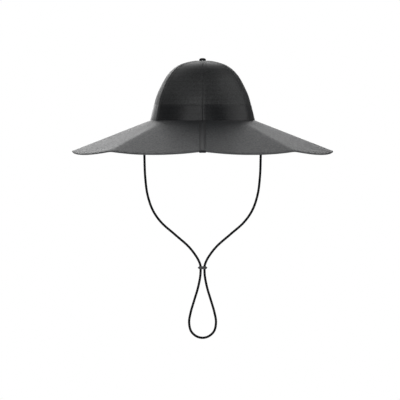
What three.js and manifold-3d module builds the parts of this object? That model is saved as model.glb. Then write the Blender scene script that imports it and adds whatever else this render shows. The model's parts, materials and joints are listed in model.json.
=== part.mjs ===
// A wide-brimmed sun hat: a six-panel domed crown on a smooth base band, a drooping brim with
// eight creased ridges, and a chin cord whose two strands run through a small slider.
// Millimetres, +Z up, the front faces -Y, and "left" is -X, as the front view shows it.
// The origin is the middle of the head opening, level with the foot of the crown.
import * as THREE from "three";
import { mergeVertices } from "three/addons/utils/BufferGeometryUtils.js";
import Module from "manifold-3d";

// Driving dimensions
const gap = 0.3; // left between neighbouring pieces
const headHalfWidth = 88.3; // head opening, side to side
const headHalfLength = 96.3; // front to back: with the width, a head of 580 mm round
const bandWall = 2;
const bandHeight = 27;
const bandTopRadius = 83.8;
const panelWall = 1.6;
const seamRise = 0.03; // a seam stands this share of the radius beyond the middle of a panel
const seamRiseFrom = -20; // heights between which the seams grow out of the oval
const seamRiseTo = 45;
const panelCount = 6;
const panelSteps = 8;
const domeRows = 12;
const brimWidth = 134.2; // from the foot of the crown to the rim, measured level
const brimSlope = THREE.MathUtils.degToRad(21.4);
const brimWall = 1.94; // measured upright, which is 1.8 square to the cloth
const brimRows = 7;
const ridgeCount = 8;
const ridgeRounding = 5; // size of the round on each ridge between two nearly flat facets
const facetGrowth = 16; // the facets start level at the crown and are flat within about this distance
const rimBow = 3.2; // how far the rim draws in between two ridges
const rimCorner = THREE.MathUtils.degToRad(2); // softens the rim's corners at the ridges
const facetStations = [0, 0.06, 0.15, 0.3, 0.5, 0.7, 0.85, 0.94]; // shares of one facet
const edgeWidth = 2.3; // bound edge
const edgeLip = 0.36; // how far the bound edge stands above and below the brim
const tapeWidth = 12;
const tapeWall = 1;
const tapeSteps = 4;
const tapeUnder = 14; // length turned back below the brim
const tapeStart = 2; // distance from the crown's foot
const buttonRadius = 6;
const buttonHeight = 4.4;
const cordRadius = 2;
const cordSides = 8;
const cordSteps = 120;
const anchorDepth = 10;
const anchorTopWidth = 12;
const anchorFootWidth = 8;
const anchorFoot = -13;
const sliderWidth = 16.4;
const sliderHeight = 5.2;
const sliderDepth = 7.6;
const sliderMiddle = -253.4;
const sliderPoint = 2.2; // length of each pointed end
const sliderBevel = 1;
const sliderHoleRadius = 2.5;
const sliderHoleOut = 3.4; // from the middle to each hole

// Outline of the dome at the middle of a side panel, from the band to the button
const dome = [
  { height: bandHeight + gap, radius: 83.4 },
  { height: 43, radius: 78.9 },
  { height: 60, radius: 71.2 },
  { height: 77.5, radius: 61 },
  { height: 89.5, radius: 49.4 },
  { height: 96.1, radius: 38.6 },
  { height: 99.9, radius: 26.2 },
  { height: 102.1, radius: 13 },
  { height: 102.5, radius: 4 },
];

// Middle angle of each crown panel, from the front towards +X
const panels = [
  { name: "front_right", middle: 30 },
  { name: "side_right", middle: 90 },
  { name: "back_right", middle: 150 },
  { name: "back_left", middle: 210 },
  { name: "side_left", middle: 270 },
  { name: "front_left", middle: 330 },
];

// Right strand of the chin cord, from its anchor to the loop's lowest point
const cordStrand = [
  { out: 100.4, height: anchorFoot - gap },
  { out: 100, height: -62 },
  { out: 98.6, height: -98 },
  { out: 94.4, height: -129 },
  { out: 85.3, height: -155 },
  { out: 71, height: -175.4 },
  { out: 47.7, height: -196.1 },
  { out: 24.3, height: -216.7 },
  { out: 12, height: -232.2 },
  { out: 6.1, height: -242.5 },
  { out: 3.5, height: -250.4 },
  { out: 3.3, height: -256.4 },
  { out: 4, height: -268.3 },
  { out: 8.2, height: -289 },
  { out: 14.4, height: -309.6 },
  { out: 20.4, height: -330.2 },
  { out: 23.1, height: -347 },
  { out: 19.9, height: -362.2 },
  { out: 11, height: -371 },
  { out: 0, height: -373.9 },
];

const baseRadius = headHalfWidth + bandWall;
const lengthening = (headHalfLength + bandWall) / baseRadius;
const brimEnd = brimWidth - edgeWidth - gap;
const facetAngle = (2 * Math.PI) / ridgeCount;

const material = (color, roughness) =>
  new THREE.MeshStandardMaterial({ color, roughness, metalness: 0 });
const crownCloth = material("#2b2d2e", 0.6);
const bandCloth = material("#26282a", 0.4);
const brimCloth = material("#56585a", 0.8);
const darkTape = material("#3c3e40", 0.8);
const blackCord = material("#16171a", 0.7);
const darkPlastic = material("#2e3032", 0.5);

function named(name, geometry, look) {
  const mesh = new THREE.Mesh(geometry, look);
  mesh.name = name;
  return mesh;
}

// A closed body through a row of rings whose points follow the flat outline in order.
// Both ends are capped, unless the last ring joins the first.
function loft(rings, outline, joined = false) {
  const count = outline.length;
  const spans = joined ? rings.length : rings.length - 1;
  const index = [];
  for (let i = 0; i < spans; i++) {
    const here = i * count;
    const next = ((i + 1) % rings.length) * count;
    for (let j = 0; j < count; j++) {
      const k = (j + 1) % count;
      index.push(here + j, next + j, next + k, here + j, next + k, here + k);
    }
  }
  if (!joined) {
    const end = (rings.length - 1) * count;
    const clockwise = THREE.ShapeUtils.isClockWise(outline);
    for (const face of THREE.ShapeUtils.triangulateShape(outline, [])) {
      const [a, b, c] = clockwise ? face.toReversed() : face;
      index.push(a, b, c, end + c, end + b, end + a);
    }
  }
  return facingOut(rings.flat(), index);
}

// Turns every face round when the body would be inside out.
function facingOut(points, index) {
  let volume = 0;
  for (let i = 0; i < index.length; i += 3) {
    const [a, b, c] = [points[index[i]], points[index[i + 1]], points[index[i + 2]]];
    volume += a.dot(b.clone().cross(c));
  }
  const geometry = new THREE.BufferGeometry().setFromPoints(points);
  geometry.setIndex(volume < 0 ? index.toReversed() : index);
  geometry.computeVertexNormals();
  return geometry;
}

// A point of the crown's oval: the seams stand a little proud, as corners between flatter panels.
function crownPoint(angle, radius, height) {
  const grown = THREE.MathUtils.smoothstep(height, seamRiseFrom, seamRiseTo);
  const seam = 1 - Math.abs(Math.sin((panelCount / 2) * angle));
  const r = radius * (1 + seamRise * grown * seam);
  return new THREE.Vector3(
    r * Math.sin(angle),
    -r * lengthening * Math.cos(angle),
    height,
  );
}

// A point of the brim, so far out from the crown's foot and so far above its upper face.
// Along a ridge the brim falls straight; between two ridges it is a nearly flat facet.
function brimPoint(angle, out, above) {
  const half = facetAngle / 2;
  const fromRidge = Math.abs(angle - facetAngle * Math.round(angle / facetAngle));
  const soft = Math.hypot(fromRidge, rimCorner) - rimCorner;
  const bow = 1 - (1 - soft / half) ** 2;
  const level = out * (1 - (rimBow / brimWidth) * bow);
  const reach = Math.max(level, 0);
  const radius = baseRadius + reach;
  const aside = Math.hypot(radius * Math.sin(fromRidge), ridgeRounding) - ridgeRounding;
  const flat = radius * (Math.cos(fromRidge) - 1) + Math.tan(half) * aside;
  const grown = 1 - Math.exp(-reach / facetGrowth);
  return new THREE.Vector3(
    (baseRadius + level) * Math.sin(angle),
    -(baseRadius * lengthening + level) * Math.cos(angle),
    above - Math.tan(brimSlope) * (reach + grown * flat),
  );
}

// The angle at one share of the way across a piece, half a gap inside its two edges.
function angleAcross(from, to, share, radius) {
  const inset = gap / 2 / radius;
  return THREE.MathUtils.clamp(from + (to - from) * share, from + inset, to - inset);
}

const shares = (steps) => Array.from({ length: steps + 1 }, (_, i) => i / steps);

function domeOutline() {
  const points = dome.map((row) => new THREE.Vector3(row.radius, row.height, 0));
  const curve = new THREE.CatmullRomCurve3(points, false, "centripetal");
  const outer = [];
  const inner = [];
  for (const share of shares(domeRows)) {
    const at = curve.getPointAt(share);
    const along = curve.getTangentAt(share);
    outer.push(new THREE.Vector2(at.x, at.y));
    const bottom = share === 0;
    const inward = bottom
      ? new THREE.Vector2(-panelWall, 0)
      : new THREE.Vector2(-along.y * panelWall, along.x * panelWall);
    inner.push(new THREE.Vector2(at.x, at.y).add(inward));
  }
  return [...outer, ...inner.reverse()];
}

function crownPanel({ name, middle }) {
  const outline = domeOutline();
  const half = 180 / panelCount;
  const from = THREE.MathUtils.degToRad(middle - half);
  const to = THREE.MathUtils.degToRad(middle + half);
  const rings = shares(panelSteps).map((share) =>
    outline.map((p) => crownPoint(angleAcross(from, to, share, p.x), p.x, p.y)),
  );
  return named(`crown_panel_${name}`, loft(rings, outline), crownCloth);
}

function crownBand() {
  const outline = [
    new THREE.Vector2(baseRadius, gap),
    new THREE.Vector2((baseRadius + bandTopRadius) / 2, (bandHeight + gap) / 2),
    new THREE.Vector2(bandTopRadius, bandHeight),
    new THREE.Vector2(bandTopRadius - bandWall, bandHeight),
    new THREE.Vector2((baseRadius + bandTopRadius) / 2 - bandWall, (bandHeight + gap) / 2),
    new THREE.Vector2(headHalfWidth, gap),
  ];
  const steps = panelCount * panelSteps;
  const rings = Array.from({ length: steps }, (_, i) => {
    const angle = (i / steps) * 2 * Math.PI;
    return outline.map((p) => crownPoint(angle, p.x, p.y));
  });
  return named("crown_band", loft(rings, outline, true), bandCloth);
}

function crownButton() {
  const seat = dome.at(-1).height + gap;
  const rim = buttonRadius - 0.5;
  const profile = [
    [0, seat],
    [rim, seat],
    [buttonRadius, seat + 0.8],
    [buttonRadius, seat + buttonHeight * 0.5],
    [buttonRadius * 0.86, seat + buttonHeight * 0.8],
    [buttonRadius * 0.5, seat + buttonHeight * 0.97],
    [0, seat + buttonHeight],
  ].map(([r, z]) => new THREE.Vector2(r, z));
  const geometry = new THREE.LatheGeometry(profile, 16);
  geometry.rotateX(Math.PI / 2);
  return named("crown_button", geometry, blackCord);
}

// Both faces of a strip of brim, as one outline of distance out and height above the upper face.
function stripOutline(outs, top, bottom) {
  const upper = outs.map((out) => new THREE.Vector2(out, top));
  const lower = outs.map((out) => new THREE.Vector2(out, bottom));
  return [...upper, ...lower.reverse()];
}

// Lofts a brim outline round one half of the hat, from front to back on +X or back to front on -X.
function aroundHalf(outline, fromAngle) {
  const facets = ridgeCount / 2;
  const stations = shares(facets - 1).flatMap((_, i) => facetStations.map((s) => i + s));
  return [...stations, facets].map((station) =>
    outline.map((p) => {
      const radius = baseRadius + p.x;
      const share = station / facets;
      const angle = angleAcross(fromAngle, fromAngle + Math.PI, share, radius);
      return brimPoint(angle, p.x, p.y);
    }),
  );
}

function brimHalf(side, fromAngle) {
  // Rows crowd together near the crown, where the creases grow fastest.
  const outs = shares(brimRows).map((share) => brimEnd * share ** 1.6);
  const outline = stripOutline([-bandWall, ...outs], 0, -brimWall);
  return named(`brim_${side}`, loft(aroundHalf(outline, fromAngle), outline), brimCloth);
}

function brimEdge(side, fromAngle) {
  const inner = brimWidth - edgeWidth;
  const top = edgeLip;
  const bottom = -brimWall - edgeLip;
  const corner = 0.7; // cut off the outer corners
  const outline = [
    new THREE.Vector2(inner, top),
    new THREE.Vector2(inner, bottom),
    new THREE.Vector2(brimWidth - corner, bottom),
    new THREE.Vector2(brimWidth, bottom + corner),
    new THREE.Vector2(brimWidth, top - corner),
    new THREE.Vector2(brimWidth - corner, top),
  ];
  const geometry = loft(aroundHalf(outline, fromAngle), outline);
  return named(`brim_edge_${side}`, geometry, darkTape);
}

// A tape along the brim's centre seam, turned round the bound edge and a little way back below.
function brimTape(name, turn) {
  const step = brimEnd - 1; // where the tape rises over the bound edge
  const onCloth = gap;
  const overEdge = edgeLip + gap;
  const underCloth = -brimWall - gap;
  const underEdge = -brimWall - edgeLip - gap;
  const insideEnd = brimWidth + gap;
  const rise = 0.6; // length over which it rises
  const along = shares(4).map((share) => THREE.MathUtils.lerp(tapeStart, step, share));
  const outline = [
    ...along.map((out) => [out, onCloth]),
    [step + rise, overEdge],
    [insideEnd, overEdge],
    [insideEnd, underEdge],
    [step + rise, underEdge],
    [step, underCloth],
    [brimWidth - tapeUnder, underCloth],
    [brimWidth - tapeUnder, underCloth - tapeWall],
    [step, underCloth - tapeWall],
    [step + rise, underEdge - tapeWall],
    [insideEnd, underEdge - tapeWall],
    [insideEnd + tapeWall, underEdge],
    [insideEnd + tapeWall, overEdge],
    [insideEnd, overEdge + tapeWall],
    [step + rise, overEdge + tapeWall],
    ...along.map((out) => [out, onCloth + tapeWall]).reverse(),
  ].map(([out, above]) => new THREE.Vector2(out, above));
  const rings = shares(tapeSteps).map((share) => {
    const across = THREE.MathUtils.lerp(-tapeWidth / 2, tapeWidth / 2, share);
    return outline.map((p) => {
      const angle = Math.asin(across / (baseRadius * lengthening + p.x));
      return brimPoint(angle, p.x, p.y);
    });
  });
  const mesh = named(name, loft(rings, outline), darkTape);
  mesh.rotation.z = turn;
  return mesh;
}

// The tab below the brim that holds one end of the cord, its upper face along the brim's slope.
function cordAnchor(side, turn) {
  const middle = cordStrand[0].out;
  const fall = 0.2; // how far the brim falls away from its ridge across the tab
  const top = (x) => -(x - baseRadius) * Math.tan(brimSlope) - brimWall - gap - fall;
  const innerTop = middle - anchorTopWidth / 2;
  const outerTop = middle + anchorTopWidth / 2;
  const shape = new THREE.Shape([
    new THREE.Vector2(innerTop, top(innerTop)),
    new THREE.Vector2(middle - anchorFootWidth / 2, anchorFoot),
    new THREE.Vector2(middle + anchorFootWidth / 2, anchorFoot),
    new THREE.Vector2(outerTop, top(outerTop)),
  ]);
  const geometry = new THREE.ExtrudeGeometry(shape, {
    depth: anchorDepth,
    bevelEnabled: false,
  });
  geometry.translate(0, 0, -anchorDepth / 2);
  geometry.rotateX(Math.PI / 2);
  const mesh = named(`cord_anchor_${side}`, geometry, blackCord);
  mesh.rotation.z = turn;
  return mesh;
}

function chinCord() {
  const right = cordStrand.map((p) => new THREE.Vector3(p.out, 0, p.height));
  const left = right.slice(0, -1).map((p) => new THREE.Vector3(-p.x, 0, p.z));
  const route = new THREE.CatmullRomCurve3([...left, ...right.reverse()], false, "centripetal");
  const section = new THREE.Shape();
  for (let i = 0; i < cordSides; i++) {
    const turn = (i / cordSides) * 2 * Math.PI;
    const point = [cordRadius * Math.cos(turn), cordRadius * Math.sin(turn)];
    if (i) section.lineTo(...point);
    else section.moveTo(...point);
  }
  const geometry = new THREE.ExtrudeGeometry(section, {
    steps: cordSteps,
    extrudePath: route,
    bevelEnabled: false,
  });
  return named("chin_cord", geometry, blackCord);
}

const wasm = await Module();
wasm.setup();

function asSolid(geometry) {
  const bare = geometry.clone();
  bare.deleteAttribute("normal");
  bare.deleteAttribute("uv");
  const merged = mergeVertices(bare, 1e-4);
  return new wasm.Manifold(
    new wasm.Mesh({
      numProp: 3,
      vertProperties: merged.attributes.position.array,
      triVerts: new Uint32Array(merged.index.array),
    }),
  );
}

function asGeometry(solid) {
  const mesh = solid.getMesh();
  const geometry = new THREE.BufferGeometry();
  geometry.setAttribute("position", new THREE.BufferAttribute(mesh.vertProperties, 3));
  geometry.setIndex(new THREE.BufferAttribute(mesh.triVerts, 1));
  geometry.computeVertexNormals();
  return geometry;
}

// A flat bead with pointed ends and one hole for each strand of the cord.
function cordSlider() {
  const end = sliderWidth / 2;
  const shoulder = end - sliderPoint;
  const face = sliderHeight / 2;
  const shape = new THREE.Shape([
    new THREE.Vector2(-end, 0),
    new THREE.Vector2(-shoulder, -face),
    new THREE.Vector2(shoulder, -face),
    new THREE.Vector2(end, 0),
    new THREE.Vector2(shoulder, face),
    new THREE.Vector2(-shoulder, face),
  ]);
  const body = new THREE.ExtrudeGeometry(shape, {
    depth: sliderDepth - 2 * sliderBevel,
    bevelThickness: sliderBevel,
    bevelSize: sliderBevel,
    bevelOffset: -sliderBevel,
    bevelSegments: 2,
  });
  body.translate(0, 0, sliderBevel - sliderDepth / 2);
  body.rotateX(Math.PI / 2);
  const drill = new THREE.CylinderGeometry(
    sliderHoleRadius,
    sliderHoleRadius,
    2 * sliderHeight,
    16,
  ).rotateX(Math.PI / 2);
  const solid = [-sliderHoleOut, sliderHoleOut].reduce(
    (left, x) => left.subtract(asSolid(drill.clone().translate(x, 0, 0))),
    asSolid(body),
  );
  const mesh = named("cord_slider", asGeometry(solid), darkPlastic);
  mesh.position.z = sliderMiddle;
  return mesh;
}

const crown = new THREE.Group();
crown.add(...panels.map(crownPanel), crownBand(), crownButton());

const brim = new THREE.Group();
for (const [side, fromAngle] of [
  ["right", 0],
  ["left", Math.PI],
])
  brim.add(brimHalf(side, fromAngle), brimEdge(side, fromAngle));
brim.add(brimTape("brim_front_tape", 0), brimTape("brim_back_tape", Math.PI));

const chinStrap = new THREE.Group();
chinStrap.add(cordAnchor("right", 0), cordAnchor("left", Math.PI), chinCord(), cordSlider());

const hat = new THREE.Group();
hat.add(crown, brim, chinStrap);

export default hat;
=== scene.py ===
import json
import math
import bmesh
import bpy
from mathutils import Vector, noise
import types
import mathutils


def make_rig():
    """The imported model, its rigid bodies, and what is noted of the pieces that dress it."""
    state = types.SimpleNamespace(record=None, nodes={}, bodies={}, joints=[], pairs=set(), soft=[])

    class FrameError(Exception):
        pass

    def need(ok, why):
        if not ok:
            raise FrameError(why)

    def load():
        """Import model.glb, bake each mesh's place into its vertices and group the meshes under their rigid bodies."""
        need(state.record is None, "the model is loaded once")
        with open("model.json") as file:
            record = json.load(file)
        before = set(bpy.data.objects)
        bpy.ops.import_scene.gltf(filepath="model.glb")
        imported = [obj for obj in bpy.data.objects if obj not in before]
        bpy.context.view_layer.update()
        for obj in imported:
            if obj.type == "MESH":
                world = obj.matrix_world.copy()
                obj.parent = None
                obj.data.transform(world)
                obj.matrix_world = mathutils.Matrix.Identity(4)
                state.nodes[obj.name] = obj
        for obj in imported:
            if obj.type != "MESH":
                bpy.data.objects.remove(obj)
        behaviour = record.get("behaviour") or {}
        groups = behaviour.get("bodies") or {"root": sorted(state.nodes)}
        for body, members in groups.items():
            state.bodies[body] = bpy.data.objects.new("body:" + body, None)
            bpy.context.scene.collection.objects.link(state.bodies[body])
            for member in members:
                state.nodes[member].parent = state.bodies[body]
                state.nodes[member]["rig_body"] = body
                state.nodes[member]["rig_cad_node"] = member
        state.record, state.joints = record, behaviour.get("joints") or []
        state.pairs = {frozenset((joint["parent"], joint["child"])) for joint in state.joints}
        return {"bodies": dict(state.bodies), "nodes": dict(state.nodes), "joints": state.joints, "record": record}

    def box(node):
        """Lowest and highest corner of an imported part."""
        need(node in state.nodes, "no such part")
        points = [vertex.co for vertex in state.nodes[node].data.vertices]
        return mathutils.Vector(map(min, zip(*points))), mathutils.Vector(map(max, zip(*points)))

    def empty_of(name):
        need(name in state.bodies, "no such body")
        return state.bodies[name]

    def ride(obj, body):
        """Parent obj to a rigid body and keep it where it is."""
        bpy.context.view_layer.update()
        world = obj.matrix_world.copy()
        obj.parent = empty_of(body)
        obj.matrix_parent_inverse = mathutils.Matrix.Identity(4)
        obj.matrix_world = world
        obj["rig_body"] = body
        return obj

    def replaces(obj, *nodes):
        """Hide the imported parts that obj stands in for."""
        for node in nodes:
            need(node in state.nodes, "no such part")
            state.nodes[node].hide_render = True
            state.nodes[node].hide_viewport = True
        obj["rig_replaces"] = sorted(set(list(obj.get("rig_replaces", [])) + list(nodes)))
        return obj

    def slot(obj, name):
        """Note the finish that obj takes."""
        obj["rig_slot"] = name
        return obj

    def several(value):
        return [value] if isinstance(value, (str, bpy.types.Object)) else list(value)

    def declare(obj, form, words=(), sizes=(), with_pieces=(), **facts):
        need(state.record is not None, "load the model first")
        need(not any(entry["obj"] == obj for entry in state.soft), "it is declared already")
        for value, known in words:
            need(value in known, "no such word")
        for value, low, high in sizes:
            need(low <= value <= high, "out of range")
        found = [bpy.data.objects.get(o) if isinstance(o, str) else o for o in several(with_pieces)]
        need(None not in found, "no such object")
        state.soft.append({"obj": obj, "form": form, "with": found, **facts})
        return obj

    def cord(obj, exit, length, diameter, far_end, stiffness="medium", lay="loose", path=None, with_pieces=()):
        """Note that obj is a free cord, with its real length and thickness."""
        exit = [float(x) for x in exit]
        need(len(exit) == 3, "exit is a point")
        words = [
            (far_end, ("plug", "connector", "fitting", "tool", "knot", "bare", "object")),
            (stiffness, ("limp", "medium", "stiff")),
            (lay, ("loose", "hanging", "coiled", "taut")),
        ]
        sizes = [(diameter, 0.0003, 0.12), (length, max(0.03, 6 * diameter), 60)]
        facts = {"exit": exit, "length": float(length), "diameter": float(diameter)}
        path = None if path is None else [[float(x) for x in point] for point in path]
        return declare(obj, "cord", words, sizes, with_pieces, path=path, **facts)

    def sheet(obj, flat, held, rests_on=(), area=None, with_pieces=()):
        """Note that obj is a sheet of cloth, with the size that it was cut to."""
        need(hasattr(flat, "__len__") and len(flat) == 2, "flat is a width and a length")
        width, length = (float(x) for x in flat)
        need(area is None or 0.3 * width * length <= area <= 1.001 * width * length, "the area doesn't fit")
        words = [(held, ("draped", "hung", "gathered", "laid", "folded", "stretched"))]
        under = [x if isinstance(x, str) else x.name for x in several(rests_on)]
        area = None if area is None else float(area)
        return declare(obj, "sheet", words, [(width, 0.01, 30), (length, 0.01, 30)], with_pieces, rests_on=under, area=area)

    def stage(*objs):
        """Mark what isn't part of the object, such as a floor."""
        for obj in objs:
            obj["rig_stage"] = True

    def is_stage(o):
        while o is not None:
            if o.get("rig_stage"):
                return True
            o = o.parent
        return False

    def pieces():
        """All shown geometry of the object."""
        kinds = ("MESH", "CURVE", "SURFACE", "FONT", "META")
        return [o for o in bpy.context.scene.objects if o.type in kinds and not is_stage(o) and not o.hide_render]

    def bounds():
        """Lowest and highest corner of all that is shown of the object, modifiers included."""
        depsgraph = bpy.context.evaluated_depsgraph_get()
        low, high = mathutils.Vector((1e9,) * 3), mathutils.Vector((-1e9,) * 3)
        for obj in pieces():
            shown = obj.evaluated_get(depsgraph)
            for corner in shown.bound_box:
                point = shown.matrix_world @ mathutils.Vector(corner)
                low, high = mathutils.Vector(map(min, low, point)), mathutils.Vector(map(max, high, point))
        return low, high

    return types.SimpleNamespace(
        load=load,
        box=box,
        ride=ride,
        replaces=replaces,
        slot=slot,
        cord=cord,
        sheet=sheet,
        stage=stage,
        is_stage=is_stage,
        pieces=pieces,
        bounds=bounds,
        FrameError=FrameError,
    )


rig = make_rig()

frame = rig.load()
cadLow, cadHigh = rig.bounds()

mm = 0.001
fullTurn = 2 * math.pi
collection = bpy.context.scene.collection
bpy.context.scene.view_settings.view_transform = "Standard"  # keeps the white surround white

# Sizes that the pieces share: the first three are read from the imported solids
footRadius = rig.box("crown_band")[1][0]  # the crown's foot, middle to side
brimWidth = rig.box("brim_edge_right")[1][0] - footRadius
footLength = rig.box("brim_edge_right")[1][1] - brimWidth  # the foot, middle to back
brimThickness = 1.94 * mm  # measured upright
gap = 0.3 * mm  # between two pieces that lie on each other


# Camera: level and square on, without perspective, so the near and the far hem fall on one line

cameraView = {
    "width": 0.688,  # what the picture spans
    "centre": (-0.0044, 0.0, -0.1369),
    "distance": 2.0,
    "elevation": 0.0,
}


def addCamera():
    data = bpy.data.cameras.new("frontCamera")
    data.type = "ORTHO"
    data.ortho_scale = cameraView["width"]
    camera = bpy.data.objects.new("frontCamera", data)
    collection.objects.link(camera)
    tilt = math.radians(cameraView["elevation"])
    away = Vector((0, -math.cos(tilt), math.sin(tilt))) * cameraView["distance"]
    camera.location = Vector(cameraView["centre"]) + away
    camera.rotation_euler = (math.pi / 2 - tilt, 0, 0)
    bpy.context.scene.camera = camera


# Tools for meshes

def smoothLine(points, spacing):
    # Centripetal Catmull-Rom curve through the points, then points on it at an even spacing
    points = [Vector(point) for point in points]
    ends = [2 * points[0] - points[1], *points, 2 * points[-1] - points[-2]]
    fine = []
    fineSteps = 40
    for i in range(len(points) - 1):
        p0, p1, p2, p3 = ends[i:i + 4]
        t1 = (p1 - p0).length ** 0.5
        t2 = t1 + (p2 - p1).length ** 0.5
        t3 = t2 + (p3 - p2).length ** 0.5
        for j in range(fineSteps):
            t = t1 + (t2 - t1) * j / fineSteps
            a1 = p0.lerp(p1, t / t1)
            a2 = p1.lerp(p2, (t - t1) / (t2 - t1))
            a3 = p2.lerp(p3, (t - t2) / (t3 - t2))
            b1 = a1.lerp(a2, t / t2)
            b2 = a2.lerp(a3, (t - t1) / (t3 - t1))
            fine.append(b1.lerp(b2, (t - t1) / (t2 - t1)))
    fine.append(points[-1])
    lengths = [0.0]
    for a, b in zip(fine, fine[1:]):
        lengths.append(lengths[-1] + (b - a).length)
    count = round(lengths[-1] / spacing)
    even = []
    j = 0
    for i in range(count + 1):
        wanted = lengths[-1] * i / count
        while j < len(fine) - 2 and lengths[j + 1] < wanted:
            j += 1
        share = (wanted - lengths[j]) / (lengths[j + 1] - lengths[j])
        even.append(fine[j].lerp(fine[j + 1], share))
    return even, lengths[-1]


def dip(distance, width):
    return math.exp(-((distance / width) ** 2))


def ease(value, low, high):
    t = min(max((value - low) / (high - low), 0), 1)
    return t * t * (3 - 2 * t)


sharpAngle = math.radians(50)  # steeper edges stay hard


def addPiece(name, points, faces, materials, looks=None, mapped=None):
    # A mesh object; looks holds each face's material, mapped each corner's place on the cloth
    mesh = bpy.data.meshes.new(name)
    mesh.from_pydata([tuple(point) for point in points], [], faces)
    for material in materials:
        mesh.materials.append(material)
    if looks:
        mesh.polygons.foreach_set("material_index", looks)
    if mapped:
        layer = mesh.uv_layers.new(name="clothMap")
        layer.data.foreach_set("uv", [c for corner in mapped for c in corner])
    mesh.shade_smooth()
    mesh.set_sharp_from_angle(angle=sharpAngle)
    piece = bpy.data.objects.new(name, mesh)
    collection.objects.link(piece)
    return piece


def addShell(name, outside, inside, mapAt, materials, ring=False):
    # A closed wall between two equal grids of points, each a row of points for each height
    rows, columns = len(outside), len(outside[0])
    wraps = columns if ring else columns - 1
    corners = []
    looks = []
    for r in range(rows - 1):
        for c in range(wraps):
            quad = [(r, c), (r, c + 1), (r + 1, c + 1), (r + 1, c)]
            corners.append([(0, *q) for q in quad])
            corners.append([(1, *q) for q in reversed(quad)])
            looks += [0, 1]
    top = rows - 1
    for c in range(wraps):
        corners.append([(0, 0, c + 1), (0, 0, c), (1, 0, c), (1, 0, c + 1)])
        corners.append([(0, top, c), (0, top, c + 1), (1, top, c + 1), (1, top, c)])
        looks += [0, 0]
    if not ring:
        last = columns - 1
        for r in range(rows - 1):
            corners.append([(0, r, 0), (0, r + 1, 0), (1, r + 1, 0), (1, r, 0)])
            corners.append([(0, r + 1, last), (0, r, last), (1, r, last), (1, r + 1, last)])
            looks += [0, 0]
    points = [p for grid in (outside, inside) for row in grid for p in row]
    faces = [[(k * rows + r) * columns + c % columns for k, r, c in face] for face in corners]
    mapped = [mapAt(r, c) for face in corners for _, r, c in face]
    if len(materials) == 1:
        looks = None
    return addPiece(name, points, faces, materials, looks, mapped)


def addSweep(name, loops, material):
    # A closed body through a row of closed loops with equal counts, its two ends capped
    count = len(loops[0])
    corners = []
    for i in range(len(loops) - 1):
        for j in range(count):
            corners.append([(i, j), (i, j + 1), (i + 1, j + 1), (i + 1, j)])
    end = len(loops) - 1
    corners.append([(0, j) for j in reversed(range(count))])
    corners.append([(end, j) for j in range(count)])
    points = [p for loop in loops for p in loop]
    faces = [[i * count + j % count for i, j in face] for face in corners]
    return addPiece(name, points, faces, [material])


def faceOut(piece):
    # Merges doubled points, then turns every face outwards
    work = bmesh.new()
    work.from_mesh(piece.data)
    bmesh.ops.remove_doubles(work, verts=work.verts, dist=1e-6)
    bmesh.ops.recalc_face_normals(work, faces=work.faces)
    work.to_mesh(piece.data)
    work.free()


def addLines(name, lines):
    # Loose lines for rows of stitches to follow
    points = [p for line in lines for p in line]
    mesh = bpy.data.meshes.new(name)
    edges = []
    start = 0
    for line in lines:
        edges += [(start + i, start + i + 1) for i in range(len(line) - 1)]
        start += len(line)
    mesh.from_pydata([tuple(p) for p in points], edges, [])
    piece = bpy.data.objects.new(name, mesh)
    collection.objects.link(piece)
    return piece


def finishPiece(piece, slotName, *nodes):
    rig.ride(piece, "root")
    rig.slot(piece, slotName)
    if nodes:
        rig.replaces(piece, *nodes)


# Tools for nodes

def hexToLinear(code):
    shares = [int(code[i:i + 2], 16) / 255 for i in (1, 3, 5)]
    linear = [s / 12.92 if s <= 0.04045 else ((s + 0.055) / 1.055) ** 2.4 for s in shares]
    return (*linear, 1.0)


def addNode(tree, kind, inputs=None, **settings):
    # A node with its settings; an input is a value, or the node or socket that it is linked to
    node = tree.nodes.new(kind)
    for name, value in settings.items():
        setattr(node, name, value)
    for socket, value in (inputs or {}).items():
        if isinstance(value, bpy.types.Node):
            value = next(output for output in value.outputs if output.enabled)
        if isinstance(value, bpy.types.NodeSocket):
            tree.links.new(value, node.inputs[socket])
        else:
            node.inputs[socket].default_value = value
    return node


def startMaterial(name):
    material = bpy.data.materials.new(name)
    material.use_nodes = True
    material.node_tree.nodes.clear()
    return material, material.node_tree


def startTree(name, sockets):
    tree = bpy.data.node_groups.new(name, "GeometryNodeTree")
    for socket, kind in sockets.items():
        tree.interface.new_socket(socket, in_out="INPUT", socket_type="NodeSocket" + kind)
    tree.interface.new_socket("Geometry", in_out="OUTPUT", socket_type="NodeSocketGeometry")
    return tree, addNode(tree, "NodeGroupInput").outputs


def applyNodes(piece, *steps):
    # Runs the trees one after another, each with its sizes, and keeps the result as a plain mesh
    for tree, sizes in steps:
        modifier = piece.modifiers.new(tree.name, "NODES")
        modifier.node_group = tree
        for item in tree.interface.items_tree:
            if item.item_type == "SOCKET" and item.name in sizes:
                modifier[item.identifier] = sizes[item.name]
    depsgraph = bpy.context.evaluated_depsgraph_get()
    result = bpy.data.meshes.new_from_object(
        piece.evaluated_get(depsgraph), preserve_all_data_layers=True, depsgraph=depsgraph
    )
    piece.modifiers.clear()
    flat = piece.data
    piece.data = result
    bpy.data.meshes.remove(flat)


def fineGrain(tree, place, size):
    # Uneven threads: spots of a size, from 0 to 1
    spots = addNode(
        tree, "ShaderNodeTexNoise", {"Vector": place, "Scale": 1 / size, "Detail": 1.0}
    )
    return addNode(tree, "ShaderNodeMapRange", {"Value": spots, "From Min": 0.3, "From Max": 0.7})


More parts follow.
